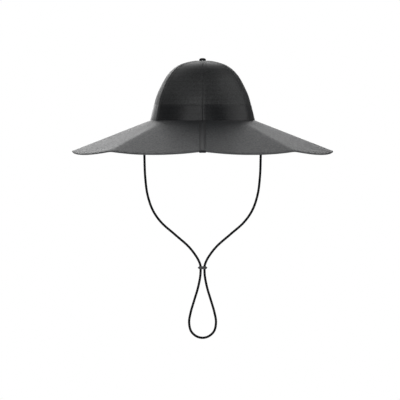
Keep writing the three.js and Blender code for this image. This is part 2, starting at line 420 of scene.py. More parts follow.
def plainWeave(tree, coordinates, spacing):
    # Height of a plain weave: each square shows one thread, across or along in turn
    squares = addNode(
        tree,
        "ShaderNodeVectorMath",
        {0: coordinates, 1: (1 / spacing, 1 / spacing, 0)},
        operation="MULTIPLY",
    )
    sides = addNode(tree, "ShaderNodeSeparateXYZ", {0: squares})
    threads = []
    for side in (0, 1):
        turn = addNode(
            tree, "ShaderNodeMath", {0: sides.outputs[side], 1: math.pi}, operation="MULTIPLY"
        )
        wave = addNode(tree, "ShaderNodeMath", {0: turn}, operation="SINE")
        threads.append(addNode(tree, "ShaderNodeMath", {0: wave}, operation="ABSOLUTE"))
    checker = addNode(tree, "ShaderNodeTexChecker", {"Vector": squares, "Scale": 1.0})
    return addNode(
        tree, "ShaderNodeMix", {0: checker.outputs["Fac"], 2: threads[0], 3: threads[1]}
    )


# Materials

def addSurface(tree, look, color, relief, dullness=None):
    # The end of every material of the hat: its shader, with a bump where the look has a height
    inputs = {
        "Base Color": color,
        "Roughness": look["roughness"] if dullness is None else dullness,
        "Specular IOR Level": look["specular"],
    }
    if "bumpHeight" in look:
        inputs["Normal"] = addNode(
            tree,
            "ShaderNodeBump",
            {"Height": relief, "Distance": look["bumpHeight"], "Strength": look["bumpStrength"]},
        )
    shader = addNode(tree, "ShaderNodeBsdfPrincipled", inputs)
    addNode(tree, "ShaderNodeOutputMaterial", {"Surface": shader})


wovenCloth = {
    "threadSpacing": 1.7 * mm,  # 0.5 mm on the real cloth, drawn coarser so that it shows
    "slubSize": 3.0 * mm,  # 0.6 mm on the real cloth, coarser for the same reason
    "patchSize": 35 * mm,
    "weaveShare": 0.2,  # how much each pattern lightens or darkens the cloth
    "slubShare": 0.5,
    "patchShare": 0.3,
    "color": "#404244",
    "darkerColor": "#212325",
    "unfadedTone": 0.62,  # painted shade: the cloth is drawn darker close to the crown's foot, where the crown shades it
    "unfadedWidth": 24 * mm,
    "roughness": 0.5,
    "roughnessSpread": 0.055,
    "specular": 0.65,
    "bumpHeight": 0.08 * mm,
    "bumpStrength": 0.12,
}


def wovenPolyester():
    # Stiffened plain-weave polyester: dark from above, and pale where light skims over it
    material, tree = startMaterial("wovenPolyester")
    place = addNode(tree, "ShaderNodeTexCoord").outputs["Object"]
    weave = plainWeave(tree, place, wovenCloth["threadSpacing"])
    patches = addNode(
        tree,
        "ShaderNodeTexNoise",
        {"Vector": place, "Scale": 1 / wovenCloth["patchSize"], "Detail": 4.0},
    )
    slubs = fineGrain(tree, place, wovenCloth["slubSize"])
    shade = 0.0
    for pattern, share in ((patches, "patchShare"), (slubs, "slubShare"), (weave, "weaveShare")):
        shade = addNode(
            tree,
            "ShaderNodeMath",
            {0: pattern, 1: wovenCloth[share], 2: shade},
            operation="MULTIPLY_ADD",
        )
    clothTone = addNode(
        tree,
        "ShaderNodeMix",
        {
            0: shade,
            6: hexToLinear(wovenCloth["darkerColor"]),
            7: hexToLinear(wovenCloth["color"]),
        },
        data_type="RGBA",
    )
    # Painted shade: the colour darkens towards the crown's foot, where the crown shades the brim
    clothMap = addNode(tree, "ShaderNodeTexCoord").outputs["UV"]
    sides = addNode(tree, "ShaderNodeSeparateXYZ", {0: clothMap})
    fading = addNode(
        tree,
        "ShaderNodeMapRange",
        {
            "Value": sides.outputs[1],
            "From Min": wovenCloth["unfadedWidth"] / 4,
            "From Max": wovenCloth["unfadedWidth"],
            "To Min": wovenCloth["unfadedTone"],
        },
    )
    color = addNode(tree, "ShaderNodeVectorMath", {0: clothTone, "Scale": fading}, operation="SCALE")
    dullness = addNode(
        tree,
        "ShaderNodeMapRange",
        {
            "Value": slubs,
            "To Min": wovenCloth["roughness"] + wovenCloth["roughnessSpread"],
            "To Max": wovenCloth["roughness"] - wovenCloth["roughnessSpread"],
        },
    )
    addSurface(tree, wovenCloth, color, weave, dullness)
    return material


filmFace = {
    "color": "#222324",
    "lineColor": "#2a2c2d",
    "gapColor": "#181919",
    "collectorSpacing": 2.2 * mm,
    "collectorHalf": 0.16,  # from a line's middle to its edge, as a share of the spacing
    "jointHalf": 0.1 * mm,  # a joint is darkest this far from its middle
    "jointEdge": 0.7 * mm,  # and no longer seen this far from it
    "grainSize": 2.4 * mm,  # 0.5 mm on real film, drawn coarser so that it shows
    "grainShare": 0.5,
    "wearSize": 22 * mm,
    "wearSpread": 0.04,
    "roughness": 0.5,
    "specular": 0.5,
    "bumpHeight": 0.03 * mm,  # of the collector lines
    "bumpStrength": 0.5,
}

# Drawn tight over the band the film is smoother, with a sharper shine; its colours are the panels' film painted
# darker, as shade
tightShadedFilmFace = {
    **filmFace,
    "color": "#161719",
    "lineColor": "#1e2022",
    "gapColor": "#101113",
    "roughness": 0.37,
    "specular": 0.39,
}


def laminatedFilm(name, stripWidth, look):
    # Thin solar film laminated in strips between clear sheets: dark, satin, faintly ruled
    material, tree = startMaterial(name)
    clothMap = addNode(tree, "ShaderNodeTexCoord").outputs["UV"]
    sides = addNode(tree, "ShaderNodeSeparateXYZ", {0: clothMap})
    # Thin collector lines up the strips
    across = addNode(
        tree,
        "ShaderNodeMath",
        {0: sides.outputs[0], 1: look["collectorSpacing"] / 2},
        operation="PINGPONG",
    )
    isLine = addNode(
        tree,
        "ShaderNodeMapRange",
        {
            "Value": across,
            "From Min": 0.0,
            "From Max": look["collectorHalf"] * look["collectorSpacing"],
            "To Min": 1.0,
            "To Max": 0.0,
        },
    )
    # The joint between two strips lies deeper and reads as a thin dark line
    along = addNode(
        tree,
        "ShaderNodeMath",
        {0: sides.outputs[1], 1: stripWidth / 2},
        operation="PINGPONG",
    )
    isJoint = addNode(
        tree,
        "ShaderNodeMapRange",
        {
            "Value": along,
            "From Min": look["jointHalf"],
            "From Max": look["jointEdge"],
            "To Min": 1.0,
            "To Max": 0.0,
        },
    )
    face = addNode(
        tree,
        "ShaderNodeMix",
        {0: isLine, 6: hexToLinear(look["color"]), 7: hexToLinear(look["lineColor"])},
        data_type="RGBA",
    )
    ruled = addNode(
        tree,
        "ShaderNodeMix",
        {0: isJoint, 6: face.outputs[2], 7: hexToLinear(look["gapColor"])},
        data_type="RGBA",
    )
    # The cloth behind shows through as a fine grain
    place = addNode(tree, "ShaderNodeTexCoord").outputs["Object"]
    grain = fineGrain(tree, place, look["grainSize"])
    tone = addNode(
        tree,
        "ShaderNodeMapRange",
        {"Value": grain, "To Min": 1 - look["grainShare"], "To Max": 1 + look["grainShare"]},
    )
    color = addNode(
        tree, "ShaderNodeVectorMath", {0: ruled.outputs[2], "Scale": tone}, operation="SCALE"
    )
    # Handling leaves the film a little duller in patches
    wear = addNode(
        tree,
        "ShaderNodeTexNoise",
        {"Vector": place, "Scale": 1 / look["wearSize"], "Detail": 5.0},
    )
    dullness = addNode(
        tree,
        "ShaderNodeMapRange",
        {
            "Value": wear,
            "To Min": look["roughness"] - look["wearSpread"],
            "To Max": look["roughness"] + look["wearSpread"],
        },
    )
    addSurface(tree, look, color, isLine, dullness)
    return material


# Woven narrow goods: their threads, 0.3 to 0.5 mm apart, are drawn coarser so that they show
closeWeave = {
    "threadSpacing": 1.0 * mm,
    "bumpHeight": 0.15 * mm,
    "bumpStrength": 0.7,
}

# Woven polyester binding: shines a little, as the brim does
wovenBinding = {
    **closeWeave,
    "color": "#464849",
    "darkerColor": "#3a3c3e",
    "roughness": 0.5,
    "specular": 0.65,
}

# The tape's folded end: the same goods as the tape, drawn darker and duller on the end that is turned round the rim
foldedTape = {
    **closeWeave,
    "color": "#26282a",
    "darkerColor": "#1c1e20",
    "roughness": 0.8,
    "specular": 0.2,
}

# Woven polyester webbing: near black and dull
wovenWebbing = {
    **closeWeave,
    "color": "#1c1d1f",
    "darkerColor": "#121314",
    "roughness": 0.75,
    "specular": 0.25,
}

# Plain-weave cloth stretched over the button: dark and dull, with a fine grain
coveringCloth = {
    **closeWeave,
    "threadSpacing": 0.9 * mm,
    "color": "#232426",
    "darkerColor": "#161718",
    "roughness": 0.75,
    "specular": 0.2,
}

# Plain-weave backing cloth: the crown's inside, dark grey and dull
wovenBacking = {
    **closeWeave,
    "threadSpacing": 1.2 * mm,
    "color": "#3a3b3d",
    "darkerColor": "#2b2c2e",
    "roughness": 0.85,
    "specular": 0.5,
}

# Braided polyester yarn: near black and matt, with fibres that break up what shine it has
braidedPolyester = {
    "grainSize": 0.6 * mm,  # bundles of fibres
    "grainDetail": 3.0,
    "color": "#1d1e20",
    "darkerColor": "#0c0d0e",
    "roughness": 0.9,
    "specular": 0.1,
    "bumpHeight": 0.08 * mm,
    "bumpStrength": 0.5,
}

# Moulded acetal: dark grey and satin, with the faint grain of a spark-eroded mould
mouldedAcetal = {
    "grainSize": 0.5 * mm,  # 0.15 mm on a real mould, drawn coarser so that it shows close up
    "grainDetail": 2.0,
    "color": "#37393b",
    "darkerColor": "#2b2d2e",
    "roughness": 0.42,
    "specular": 0.5,
    "bumpHeight": 0.03 * mm,
    "bumpStrength": 0.4,
}

# Spun polyester sewing thread: a little lighter than the film, with the sheen of the cloth
spunThread = {
    "grainSize": 0.4 * mm,  # turns of its twist
    "grainDetail": 2.0,
    "color": "#3a3b3d",
    "darkerColor": "#242527",
    "roughness": 0.55,
    "specular": 0.6,
}


def twoToneMaterial(name, look):
    # Threads of a weave, or a grain, that run between two tones
    material, tree = startMaterial(name)
    place = addNode(tree, "ShaderNodeTexCoord").outputs["Object"]
    if "threadSpacing" in look:
        pattern = plainWeave(tree, place, look["threadSpacing"])
    else:
        pattern = addNode(
            tree,
            "ShaderNodeTexNoise",
            {"Vector": place, "Scale": 1 / look["grainSize"], "Detail": look["grainDetail"]},
        )
    color = addNode(
        tree,
        "ShaderNodeMix",
        {0: pattern, 6: hexToLinear(look["darkerColor"]), 7: hexToLinear(look["color"])},
        data_type="RGBA",
    )
    addSurface(tree, look, color, pattern)
    return material


sewnTape = {
    "ribHalf": 1.9 * mm,  # half the raised middle
    "ribEdgeIn": 0.4 * mm,  # the look starts to change this far inside the rib's edge
    "ribEdgeOut": 0.8 * mm,  # and has changed this far outside it
    "ribFrom": 12 * mm,  # the painted shadow of the crown reaches about this far out from the crown's foot
    "sideShareAtRim": 0.15,  # the painted shade of the sewn sides is this weak at the rim, where the tape lies flatter
    "color": "#343537",
    # Painted shade: the sewn-down sides, and the crown's shadow over the tape's start
    "sideColor": "#1e1f21",
    "roughness": 0.52,
    "sideRoughness": 0.66,
    "specular": 0.65,
    "threadSpacing": 1.0 * mm,  # 0.4 mm on real tape, drawn coarser so that it shows
    "bumpHeight": 0.05 * mm,
    "bumpStrength": 0.3,
}


def ribbedTape():
    # Ribbed polyester seam tape: its raised middle shines as the brim does, while its two sewn sides are
    # painted darker as shade and its start darker as the crown's shadow, and both are duller
    material, tree = startMaterial("ribbedTape")
    clothMap = addNode(tree, "ShaderNodeTexCoord").outputs["UV"]
    weave = plainWeave(tree, clothMap, sewnTape["threadSpacing"])
    sides = addNode(tree, "ShaderNodeSeparateXYZ", {0: clothMap})
    across = addNode(tree, "ShaderNodeMath", {0: sides.outputs[0]}, operation="ABSOLUTE")
    # Painted shade on the two sewn-down sides
    isSide = addNode(
        tree,
        "ShaderNodeMapRange",
        {
            "Value": across,
            "From Min": sewnTape["ribHalf"] - sewnTape["ribEdgeIn"],
            "From Max": sewnTape["ribHalf"] + sewnTape["ribEdgeOut"],
        },
        interpolation_type="SMOOTHSTEP",
    )
    sideShadeFade = addNode(
        tree,
        "ShaderNodeMapRange",
        {
            "Value": sides.outputs[1],
            "From Min": 2 * sewnTape["ribFrom"],
            "From Max": brimWidth,
            "To Min": 1.0,
            "To Max": sewnTape["sideShareAtRim"],
        },
    )
    sewnSideShade = addNode(tree, "ShaderNodeMath", {0: isSide, 1: sideShadeFade}, operation="MULTIPLY")
    # Painted shadow of the crown over the tape's start
    inCrownShadow = addNode(
        tree,
        "ShaderNodeMapRange",
        {
            "Value": sides.outputs[1],
            "From Min": sewnTape["ribFrom"] / 2,
            "From Max": 2 * sewnTape["ribFrom"],
            "To Min": 1.0,
            "To Max": 0.0,
        },
        interpolation_type="SMOOTHSTEP",
    )
    dark = addNode(tree, "ShaderNodeMath", {0: sewnSideShade, 1: inCrownShadow}, operation="MAXIMUM")
    color = addNode(
        tree,
        "ShaderNodeMix",
        {0: dark, 6: hexToLinear(sewnTape["color"]), 7: hexToLinear(sewnTape["sideColor"])},
        data_type="RGBA",
    )
    dullness = addNode(
        tree,
        "ShaderNodeMix",
        {0: dark, 2: sewnTape["roughness"], 3: sewnTape["sideRoughness"]},
    )
    addSurface(tree, sewnTape, color, weave, dullness)
    return material


# Chin cord: one braided cord from tab to tab, gathered by the slider

chinCord = {
    "diameter": 4 * mm,
    "pads": 6,  # strands that show side by side round the cord
    "padLength": 1.9 * mm,
    "padRounding": 0.6,  # lower is flatter, with narrower creases
    "relief": 0.16 * mm,
    "sides": 24,
    "step": 0.45 * mm,
}

# Right strand, from its tab to the loop's lowest point: distance out and height in mm
cordStrand = [
    (100.4, -13.3), (100, -62), (98.6, -98), (94.4, -129), (85.3, -155),
    (71, -175.4), (47.7, -196.1), (24.3, -216.7), (12, -232.2), (6.1, -242.5),
    (3.5, -250.4), (3.3, -256.4), (4, -268.3), (8.2, -289), (14.4, -309.6),
    (20.4, -330.2), (23.1, -347), (19.9, -362.2), (11, -371), (0, -373.9),
]


def cordRoute():
    right = [(out * mm, 0, height * mm) for out, height in cordStrand]
    left = [(-x, y, z) for x, y, z in right[:-1]]
    return smoothLine(left + right[::-1], chinCord["step"])


def addChinCord(material):
    route, length = cordRoute()
    radius = chinCord["diameter"] / 2
    sides = chinCord["sides"]
    loops = []
    for i, middle in enumerate(route):
        before, after = route[max(i - 1, 0)], route[min(i + 1, len(route) - 1)]
        along = (after - before).normalized()
        outward = Vector((along.z, 0, -along.x))
        wound = math.pi * i * chinCord["step"] / chinCord["padLength"]
        loop = []
        for j in range(sides):
            turn = fullTurn * j / sides
            around = chinCord["pads"] * turn / 2
            pad = abs(math.sin(around + wound / 2) * math.sin(around - wound / 2))
            reach = radius + chinCord["relief"] * (pad ** chinCord["padRounding"] - 0.5)
            loop.append(
                middle + reach * (math.cos(turn) * outward + math.sin(turn) * Vector((0, 1, 0)))
            )
        loops.append(loop)
    cord = addSweep("chinCord", loops, material)
    faceOut(cord)
    finishPiece(cord, "cord", "chin_cord")
    return cord, route, length


# Slider: a flat moulded bead with pointed ends and a hole for each strand

slider = {
    "point": 2.6 * mm,  # length of each pointed end
    "pointShare": 0.18,  # the flat end's share of the height
    "edgeRound": 0.9 * mm,
    "lipRound": 0.25 * mm,
    "holeRadius": 2.45 * mm,
    "holeOut": 3.4 * mm,
    "sharpAngle": math.radians(35),
}


def addSlider(material):
    low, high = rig.box("cord_slider")
    middle = (low[2] + high[2]) / 2
    end, face, depth = high[0], (high[2] - low[2]) / 2, high[1] - low[1]
    shoulder = end - slider["point"]
    blunt = slider["pointShare"]
    outline = [(-end, blunt), (-end, -blunt), (-shoulder, -1), (shoulder, -1)]
    outline += [(-x, -z) for x, z in outline]
    work = bmesh.new()
    ring = [work.verts.new((x, -depth / 2, middle + z * face)) for x, z in outline]
    base = work.faces.new(ring)
    grown = bmesh.ops.extrude_face_region(work, geom=[base])
    moved = [g for g in grown["geom"] if isinstance(g, bmesh.types.BMVert)]
    bmesh.ops.translate(work, verts=moved, vec=(0, depth, 0))
    bmesh.ops.recalc_face_normals(work, faces=work.faces)
    mesh = bpy.data.meshes.new("cordSlider")
    work.to_mesh(mesh)
    work.free()
    bead = bpy.data.objects.new("cordSlider", mesh)
    collection.objects.link(bead)
    bevel = bead.modifiers.new("round edges", "BEVEL")
    bevel.width = slider["edgeRound"]
    bevel.segments = 4
    drills = []
    for side in (-1, 1):
        bpy.ops.mesh.primitive_cylinder_add(
            vertices=40,
            radius=slider["holeRadius"],
            depth=4 * face,
            location=(side * slider["holeOut"], 0, middle),
        )
        drill = bpy.context.object
        drills.append(drill)
        cut = bead.modifiers.new("hole", "BOOLEAN")
        cut.object = drill
        cut.operation = "DIFFERENCE"
        cut.solver = "EXACT"
    lips = bead.modifiers.new("round lips", "BEVEL")
    lips.width = slider["lipRound"]
    lips.segments = 2
    lips.limit_method = "ANGLE"
    lips.angle_limit = sharpAngle
    depsgraph = bpy.context.evaluated_depsgraph_get()
    bead.data = bpy.data.meshes.new_from_object(bead.evaluated_get(depsgraph))
    bead.modifiers.clear()
    for drill in drills:
        bpy.data.objects.remove(drill)
    bead.data.materials.append(material)
    bead.data.shade_smooth()
    bead.data.set_sharp_from_angle(angle=slider["sharpAngle"])
    finishPiece(bead, "slider", "cord_slider")
    return bead


# Crown: a dome of six panels faced with ruled film, on a smoother base band

crown = {
    "panels": 6,
    "seamRise": 0.03,  # a seam stands this share of the radius beyond a panel's middle
    "seamRiseFrom": -20 * mm,
    "seamRiseTo": 45 * mm,
    "wall": 1.6 * mm,
    "stripWidth": 8.5 * mm,
    "jointDepth": 0.1 * mm,
    "jointWidth": 0.35 * mm,
    "rollDepth": 0.75 * mm,  # the panel's edge turns in at a seam
    "rollWidth": 0.6 * mm,
    "allowance": 5.5 * mm,  # cloth folded back behind the film on each side of a seam
    "allowanceEnd": 2 * mm,  # over which it thins out
    "allowanceRise": 0.4 * mm,
    "stitchOut": 2.4 * mm,
    "stitchDip": 0.14 * mm,
    "stitchWidth": 0.7 * mm,
    "stitchFrom": 1.5 * mm,  # above the band
    "stitchTo": 8.5 * mm,  # short of the panel's top
    "wander": 0.12 * mm,  # the film's slow unevenness
    "wanderSize": 38 * mm,
}

# Outline of the dome at the middle of a side panel, from the band to the button, in mm
domeOutline = [
    (83.4, 27.3), (78.9, 43), (71.2, 60), (61, 77.5), (49.4, 89.5),
    (38.6, 96.1), (26.2, 99.9), (13, 102.1), (4, 102.5),
]

panelNames = ["front_right", "side_right", "back_right", "back_left", "side_left", "front_left"]
domeLine, domeLength = smoothLine([(r * mm, 0, z * mm) for r, z in domeOutline], 0.25 * mm)


def ovalPoint(angle, radius, height):
    # A point of the crown's oval, whose seams stand proud as corners between flatter panels
    grown = ease(height, crown["seamRiseFrom"], crown["seamRiseTo"])
    seam = 1 - abs(math.sin(crown["panels"] / 2 * angle))
    wide = radius * (1 + crown["seamRise"] * grown * seam)
    return Vector(
        (wide * math.sin(angle), -wide * footLength / footRadius * math.cos(angle), height)
    )


def ovalLength(radius):
    # Way round the hat's oval, whose length keeps its proportion to its width
    return math.pi * radius * (1 + footLength / footRadius)


def domeAt(along):
    # Radius and height at a distance up the dome's outline
    place = min(max(along / domeLength, 0), 1) * (len(domeLine) - 1)
    i = min(int(place), len(domeLine) - 2)
    point = domeLine[i].lerp(domeLine[i + 1], place - i)
    return point.x, point.z


def seamDistance(angle, radius):
    pitch = fullTurn / crown["panels"]
    return abs((angle + pitch / 2) % pitch - pitch / 2) * radius


def foldedShare(fromSeam):
    return 1 - ease(fromSeam, crown["allowance"], crown["allowance"] + crown["allowanceEnd"])


def panelRelief(fromSeam, along, place):
    folded = foldedShare(fromSeam)
    strip = crown["stripWidth"]
    fromJoint = abs((along + strip / 2) % strip - strip / 2)
    return (
        crown["allowanceRise"] * folded
        - crown["rollDepth"] * dip(fromSeam, crown["rollWidth"])
        - crown["stitchDip"] * dip(fromSeam - crown["stitchOut"], crown["stitchWidth"])
        - crown["jointDepth"] * dip(fromJoint, crown["jointWidth"])
        + crown["wander"] * noise.noise(place / crown["wanderSize"])
    )


def domePoint(angle, along, depth=None, lift=0.0):
    # On the film's face, or at a depth below the smooth dome
    radius, height = domeAt(along)
    here = ovalPoint(angle, radius, height)
    nearStep = 0.5 * mm
    lowRadius, lowHeight = domeAt(along - nearStep)
    topRadius, topHeight = domeAt(along + nearStep)
    up = ovalPoint(angle, topRadius, topHeight) - ovalPoint(angle, lowRadius, lowHeight)
    turn = 0.01
    across = ovalPoint(angle + turn, radius, height) - ovalPoint(angle - turn, radius, height)
    outward = across.cross(up).normalized()
    if depth is None:
        depth = -panelRelief(seamDistance(angle, radius), along, here)
    return here + outward * (lift - depth)


def stripRows(length, strip, shares):
    # Rows of points crowded at the joints between strips, the last a little way before the end
    rows = [k * strip + share * strip for k in range(math.ceil(length / strip)) for share in shares]
    before = 0.2 * mm
    return [row for row in rows if row < length - before] + [length]


# Columns beside a seam, as shares of a panel's width, and rows in a strip, of its height
panelShares = [0, 0.004, 0.008, 0.013, 0.019, 0.027, 0.036, 0.048, 0.062, 0.08, 0.105]
stripShares = [0, 0.035, 0.07, 0.14, 0.28, 0.5, 0.72, 0.86, 0.93, 0.965]


def panelColumns():
    edge, steps = panelShares[-1], 30
    middle = [edge + (1 - 2 * edge) * i / steps for i in range(1, steps)]
    return panelShares + middle + [1 - share for share in reversed(panelShares)]


def panelCut():
    # A crown panel laid flat: its greatest width, its length and its area
    pitch = fullTurn / crown["panels"]
    steps = 40
    meanShare = (1 + footLength / footRadius) / 2  # the oval is longer than it is wide
    widths = [domeAt(domeLength * i / steps)[0] * pitch * meanShare for i in range(steps + 1)]
    area = sum(a + b for a, b in zip(widths, widths[1:])) / 2 * domeLength / steps
    return (widths[0], domeLength), area


def addPanel(name, middleAngle, materials):
    half = fullTurn / crown["panels"] / 2
    rows = stripRows(domeLength, crown["stripWidth"], stripShares)
    columns = panelColumns()
    angles = [middleAngle - half + 2 * half * share for share in columns]
    outside = [[domePoint(angle, along) for angle in angles] for along in rows]
    inside = [[domePoint(angle, along, depth=crown["wall"]) for angle in angles] for along in rows]

    def mapAt(row, column):
        across = (columns[column] - 0.5) * 2 * half * domeAt(rows[row])[0]
        return across, rows[row]

    panel = addShell("crownPanel_" + name, outside, inside, mapAt, materials)
    finishPiece(panel, "crown", "crown_panel_" + name)
    flat, area = panelCut()
    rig.sheet(panel, flat=flat, held="stretched", rests_on=["crown_band"], area=area)


# Base band: the same ruled film drawn tight and smooth, one ring with the panels' seams in it

band = {
    "topRadius": 83.8 * mm,
    "wall": 2.0 * mm,
    "stripWidth": 7.7 * mm,
    "jointDepth": 0.07 * mm,
    "edgeRound": 0.7 * mm,
    "edgeTurn": 0.2 * mm,
    "seamShare": 0.7,  # its seams are shallower than the panels'
    "seamWidthShare": 0.8,
    "allowanceShare": 0.5,
    "stitchIn": 2.2 * mm,
    "stitchWidth": 0.6 * mm,
    "columnsInPanel": 50,
}
bandLow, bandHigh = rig.box("crown_band")

# Columns beside a seam of the band, in mm from it
bandColumns = [0, 0.5, 1, 1.6, 2.4, 3.4, 4.8, 6.5, 8.5]


def bandPoint(angle, height, depth=None, lift=0.0):
    foot, top = bandLow[2], bandHigh[2]
    share = (height - foot) / (top - foot)
    radius = footRadius + (band["topRadius"] - footRadius) * share
    here = ovalPoint(angle, radius, height)
    outward = Vector((here.x, here.y * (footRadius / footLength) ** 2, 0)).normalized()
    outward.z = (footRadius - band["topRadius"]) / (top - foot)
    outward.normalize()
    if depth is None:
        fromSeam = seamDistance(angle, radius)
        fromEdge = min(height - foot, top - height)
        down = top - height
        strip = band["stripWidth"]
        fromJoint = abs((down + strip / 2) % strip - strip / 2)
        seamWidth = crown["rollWidth"] * band["seamWidthShare"]
        depth = (
            crown["rollDepth"] * band["seamShare"] * dip(fromSeam, seamWidth)
            - band["allowanceShare"] * crown["allowanceRise"] * foldedShare(fromSeam)
            + band["edgeTurn"] * dip(fromEdge, band["edgeRound"])
            + crown["stitchDip"] * dip(fromEdge - band["stitchIn"], band["stitchWidth"])
            + band["jointDepth"] * dip(fromJoint, crown["jointWidth"])
        )
    return here + outward * (lift - depth)


def addBand(materials):
    # The ring reaches the brim below and the panels above, so that no light shows between them
    foot, top = bandLow[2] - gap, bandHigh[2] + gap
    down = stripRows(top - foot, band["stripWidth"], stripShares)
    edgeRow = 0.5 * mm  # a row close to each edge
    heights = sorted({round(top - d, 6) for d in down} | {foot + edgeRow, top - edgeRow})
    pitch = fullTurn / crown["panels"]
    width, last = footRadius * pitch / mm, bandColumns[-1]
    rest = band["columnsInPanel"] - 2 * len(bandColumns) + 1
    middle = [last + (width - 2 * last) * i / (rest + 1) for i in range(1, rest + 1)]
    across = bandColumns + middle + [width - x for x in reversed(bandColumns[1:])]
    angles = [pitch * (k + x / width) for k in range(crown["panels"]) for x in across]
    outside = [[bandPoint(a, z) for a in angles] for z in heights]
    inside = [[bandPoint(a, z, depth=band["wall"]) for a in angles] for z in heights]

    def mapAt(row, column):
        angle = angles[column] if column < len(angles) else fullTurn
        return angle * footRadius, top - heights[row]

    ring = addShell("crownBand", outside, inside, mapAt, materials, ring=True)
    finishPiece(ring, "band", "crown_band")
    wayRound = ovalLength(band["topRadius"]) / 2 + ovalLength(footRadius) / 2
    flat = (top - foot, wayRound)
    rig.sheet(ring, flat=flat, held="stretched", rests_on=["brim_right", "brim_left"])


# Button: cloth gathered over a small dome

button = {
    "gathers": 14,
    "gatherDepth": 0.12 * mm,
    "gathersFrom": 0.3,  # share of the radius at which they start
    "steps": 84,
}

# Radius and height as shares, from the underside's middle over the rim to the top
buttonProfile = [
    (0.55, 0.0), (0.86, 0.0), (0.96, 0.05), (1.0, 0.16), (1.0, 0.3), (0.985, 0.42),
    (0.95, 0.54), (0.89, 0.66), (0.8, 0.77), (0.68, 0.86), (0.54, 0.93), (0.38, 0.97),
    (0.2, 0.993),
]


def addButton(material):
    low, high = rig.box("crown_button")
    radius, seat, tall = high[0], low[2], high[2] - low[2]
    points = []
    for out, up in buttonProfile:
        for j in range(button["steps"]):
            turn = fullTurn * j / button["steps"]
            weight = ease(out, button["gathersFrom"], 1.0)
            fold = button["gatherDepth"] * weight * abs(math.sin(button["gathers"] / 2 * turn))
            reach = out * radius - button["gatherDepth"] * weight + fold
            points.append((reach * math.cos(turn), reach * math.sin(turn), seat + up * tall))
    count = button["steps"]
    faces = []
    for i in range(len(buttonProfile) - 1):
        for j in range(count):
            k = (j + 1) % count
            faces.append([i * count + j, i * count + k, (i + 1) * count + k, (i + 1) * count + j])
    bottom, top = len(points), len(points) + 1
    points += [(0, 0, seat), (0, 0, seat + tall)]
    last = (len(buttonProfile) - 1) * count
    for j in range(count):
        k = (j + 1) % count
        faces.append([bottom, k, j])
        faces.append([top, last + j, last + k])
    knob = addPiece("crownButton", points, faces, [material])
    faceOut(knob)
    finishPiece(knob, "button", "crown_button")


# Brim: flat strips of cloth laid over eight ridges by one tree of nodes. A strip is drawn flat,
# as angle round the hat, distance out from the crown's foot and height above the cloth's face.

brim = {
    "Foot Radius": footRadius,
    "Foot Length": footLength,
    "Brim Width": brimWidth,
    "Slope": math.radians(21.4),
    "Ridges": 8.0,
    "Ridge Rounding": 5 * mm,
    "Facet Growth": 16 * mm,
    "Rim Bow": 3.2 * mm,
    "Rim Corner": math.radians(2),
    "Ripple": 0.35 * mm,
    "Ripple Size": 55 * mm,
    "Seed": 7.0,
}

cloth = {
    "columns": 300,
    "rows": 64,
    "rowCrowding": 1.15,  # above 1 the rows lie closer together near the crown
    "edgeWidth": 2.3 * mm,
    "edgeLip": 0.36 * mm,
    "inBinding": 1.0 * mm,  # how far the cloth reaches into its binding
    "edgeCorner": 0.25 * mm,
    "pucker": 0.07 * mm,  # each stitch draws the binding in a little
    "stitchFromRim": 4.4 * mm,
    "stitchRise": 0.02 * mm,
}
bendSteps = 12  # round the rim


